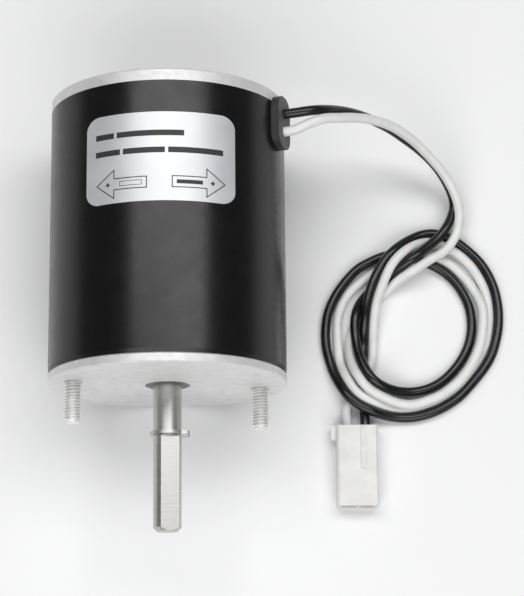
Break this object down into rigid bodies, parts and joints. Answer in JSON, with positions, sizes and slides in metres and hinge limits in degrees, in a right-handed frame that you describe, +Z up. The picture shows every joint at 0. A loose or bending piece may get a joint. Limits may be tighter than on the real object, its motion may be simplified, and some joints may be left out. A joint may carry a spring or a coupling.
{
  "type": "vent fan motor",
  "caption": "Small brushed permanent-magnet motor in a black round can, with a flatted shaft, threaded mounting studs and a coiled two-wire lead with a plug.",
  "frame": {"origin": "centre of the front mounting face, on the motor's axis", "axes": "+Y along the motor's axis from the mounting face to the rear, the shaft points to -Y, +Z up as the motor lies on its side, +X to the right towards the lead"},
  "size_m": [0.1068, 0.1024, 0.0541],
  "materials": {
    "can_paint": "satin black paint",
    "plate_metal": "fine matt",
    "bolt_steel": "zinc plated",
    "shaft_steel": "ground",
    "spring_steel": "dark oiled",
    "core_steel": "laminated",
    "bush_bronze": "sintered",
    "felt": "oiled felt",
    "nylon": "natural",
    "insulation": "laminate",
    "moulding": "moulded",
    "copper": "enamelled",
    "brass": "rolled",
    "ferrite": "sintered",
    "carbon": "pressed",
    "tin": "tinned",
    "grommet_rubber": "moulded",
    "label_foil": "satin foil",
    "lead_white": "satin",
    "lead_black": "satin",
    "connector_nylon": "natural"
  },
  "bodies": {
    "housing": {"can": "can_paint", "front_plate": "plate_metal", "rear_cap": "plate_metal", "through_bolts": "bolt_steel", "lock_washers": "bolt_steel", "front_bush": "bush_bronze", "rear_bush": "bush_bronze", "front_felt": "felt", "rear_felt": "felt", "front_bush_retainer": "spring_steel", "rear_bush_retainer": "spring_steel", "magnets": "ferrite", "magnet_clips": "spring_steel", "brush_plate": "insulation", "brush_holders": "brass", "brushes": "carbon", "brush_springs": "spring_steel", "brush_shunts": "copper", "brush_plate_screws": "bolt_steel", "grommet": "grommet_rubber", "inner_lead_white": "lead_white", "inner_lead_black": "lead_black", "label": "label_foil", "lead_white": "lead_white", "lead_black": "lead_black", "lead_coil": "lead_black", "tail_white": "lead_white", "tail_black": "lead_black", "connector_housing": "connector_nylon", "connector_contacts": "tin"},
    "rotor": {"shaft": "shaft_steel", "retaining_ring": "spring_steel", "front_thrust_washer": "spring_steel", "front_spacer": "nylon", "armature_core": "core_steel", "slot_end_sheets": "insulation", "winding": "copper", "commutator_hub": "moulding", "commutator_bars": "copper", "rear_thrust_washer": "spring_steel", "wave_washer": "spring_steel"}
  },
  "joints": [
    {"name": "shaft_spin", "type": "hinge", "parent": "housing", "child": "rotor", "pos_m": [0, 0, 0], "axis": [0, 1, 0], "continuous": true}
  ]
}
